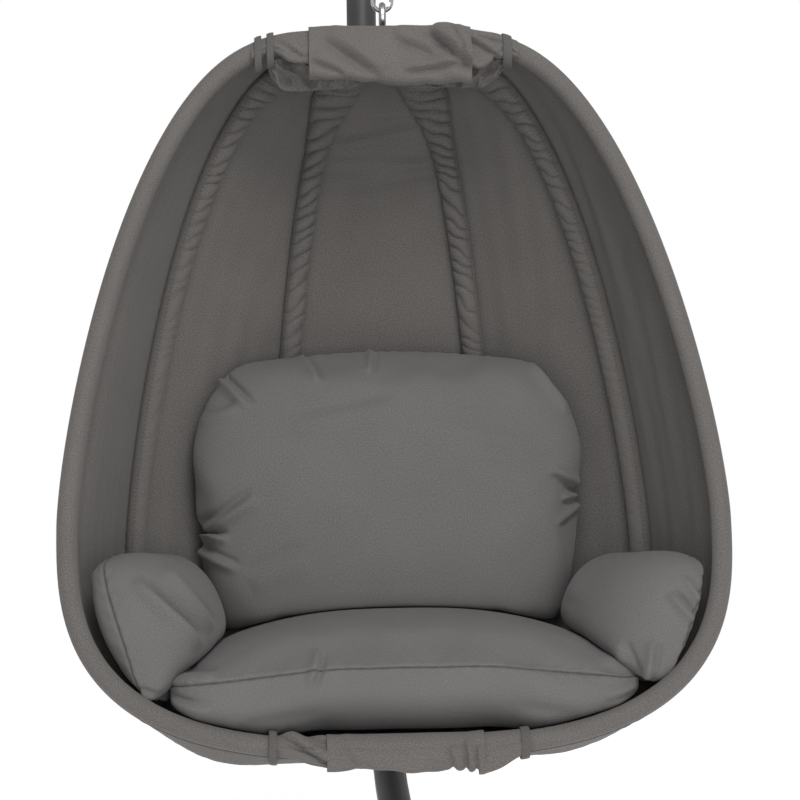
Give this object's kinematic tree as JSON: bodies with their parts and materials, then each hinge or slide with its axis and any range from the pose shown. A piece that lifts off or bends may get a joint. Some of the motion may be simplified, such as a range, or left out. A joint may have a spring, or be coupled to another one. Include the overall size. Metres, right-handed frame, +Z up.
{
  "type": "hanging chair with stand",
  "caption": "Egg-shaped cloth pod chair with loose cushions, hung by a chain and snap hook from a bent-tube stand on a four-legged base.",
  "frame": {"origin": "on the floor at the middle of the width and length that the stand takes up", "axes": "+Z up; the chair faces -Y and +X is to the right of someone who looks at its front"},
  "size_m": [1.0634, 1.1359, 1.956],
  "materials": {
    "powder_coat": "satin powder coat",
    "zinc_steel": "zinc plated",
    "bright_steel": "bright plated",
    "pod_cloth": "plain woven polyester",
    "cushion_cloth": "plain woven polyester",
    "rubber": "matt",
    "cap_plastic": "matt"
  },
  "bodies": {
    "stand": {"base_hub": "powder_coat", "mast_lower": "powder_coat", "mast_upper": "powder_coat", "top_arm": "powder_coat", "mast_bolt_base": "zinc_steel", "mast_bolt_low": "zinc_steel", "mast_bolt_high": "zinc_steel", "arm_end_cap": "cap_plastic", "stand_eye": "zinc_steel", "stand_eye_nut": "zinc_steel", "leg_front_right": "powder_coat", "foot_front_right": "rubber", "leg_bolt_front_right": "zinc_steel", "leg_back_right": "powder_coat", "foot_back_right": "rubber", "leg_bolt_back_right": "zinc_steel", "leg_back_left": "powder_coat", "foot_back_left": "rubber", "leg_bolt_back_left": "zinc_steel", "leg_front_left": "powder_coat", "foot_front_left": "rubber", "leg_bolt_front_left": "zinc_steel"},
    "chain_top": {"chain_link_1": "zinc_steel"},
    "chain": {"chain_link_2": "zinc_steel", "chain_link_3": "zinc_steel", "chain_link_4": "zinc_steel", "chain_link_5": "zinc_steel", "chain_link_6": "zinc_steel", "chain_link_7": "zinc_steel"},
    "snap": {"snap_hook": "bright_steel", "gate_pin": "zinc_steel"},
    "gate": {"snap_gate": "bright_steel"},
    "chair": {"chair_eye": "zinc_steel", "chair_eye_nut": "zinc_steel", "top_hub": "powder_coat", "bottom_hub": "powder_coat", "hoop_left": "powder_coat", "hoop_right": "powder_coat", "rib_side_left": "powder_coat", "rib_side_right": "powder_coat", "rib_centre_left": "powder_coat", "rib_centre_right": "powder_coat", "sleeve_hoop_left": "pod_cloth", "sleeve_hoop_right": "pod_cloth", "sleeve_rib_side_left": "pod_cloth", "sleeve_rib_side_right": "pod_cloth", "sleeve_rib_centre_left": "pod_cloth", "sleeve_rib_centre_right": "pod_cloth", "panel_side_left": "pod_cloth", "panel_back_left": "pod_cloth", "panel_back_centre": "pod_cloth", "panel_back_right": "pod_cloth", "panel_side_right": "pod_cloth", "top_wrap": "pod_cloth", "bottom_wrap": "pod_cloth", "seat_cushion": "cushion_cloth", "back_cushion": "cushion_cloth", "arm_cushion_left": "cushion_cloth", "arm_cushion_right": "cushion_cloth"}
  },
  "joints": [
    {"name": "chain_swing", "type": "hinge", "parent": "stand", "child": "chain_top", "pos_m": [0, 0.16425, 1.8477], "axis": [-1, 0, 0], "range_deg": [-2, 15]},
    {"name": "chain_sway", "type": "hinge", "parent": "chain_top", "child": "chain", "pos_m": [0, 0.16425, 1.795], "axis": [0, 1, 0], "range_deg": [-8, 8]},
    {"name": "snap_swivel", "type": "hinge", "parent": "chain", "child": "snap", "pos_m": [0, 0.16425, 1.4736], "axis": [0, 0, 1], "range_deg": [-30, 30]},
    {"name": "gate_open", "type": "hinge", "parent": "snap", "child": "gate", "pos_m": [0.01398, 0.16354, 1.427], "axis": [-0.0506, -0.9987, 0], "range_deg": [0, 25], "stiffness_Nm_per_rad": 0.02, "springref_deg": -11.46},
    {"name": "chair_tip", "type": "hinge", "parent": "snap", "child": "chair", "pos_m": [0, 0.16425, 1.4056], "axis": [0.9987, -0.0506, 0], "range_deg": [-4, 3]}
  ]
}
